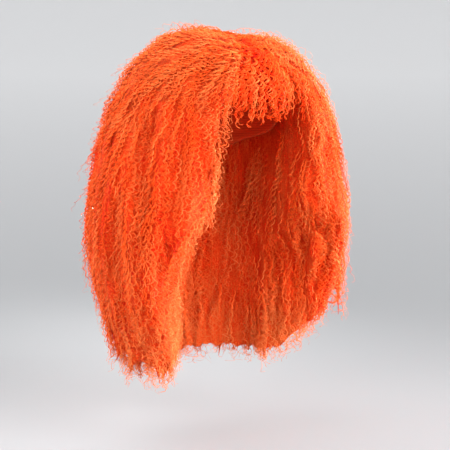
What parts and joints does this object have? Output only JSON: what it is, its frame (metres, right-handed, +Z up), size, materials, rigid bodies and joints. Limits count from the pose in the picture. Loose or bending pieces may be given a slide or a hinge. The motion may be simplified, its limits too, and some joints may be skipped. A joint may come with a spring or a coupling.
{
  "type": "curly wig",
  "caption": "Curly chest-length wig with a centre parting and a curled fringe, on a hollow fitted cap that a head goes into.",
  "frame": {"origin": "inside of the cap's crown, where the top of the head bears on it", "axes": "+Z up, the face looks along -Y, the wearer's left is +X"},
  "size_m": [0.3892, 0.2916, 0.5145],
  "materials": {
    "cap": "matte knit",
    "hair": "soft sheen of curled fibre"
  },
  "bodies": {
    "root": {"cap": "cap", "right_hair": "hair", "left_hair": "hair", "back_hair": "hair", "fringe": "hair"}
  },
  "joints": []
}
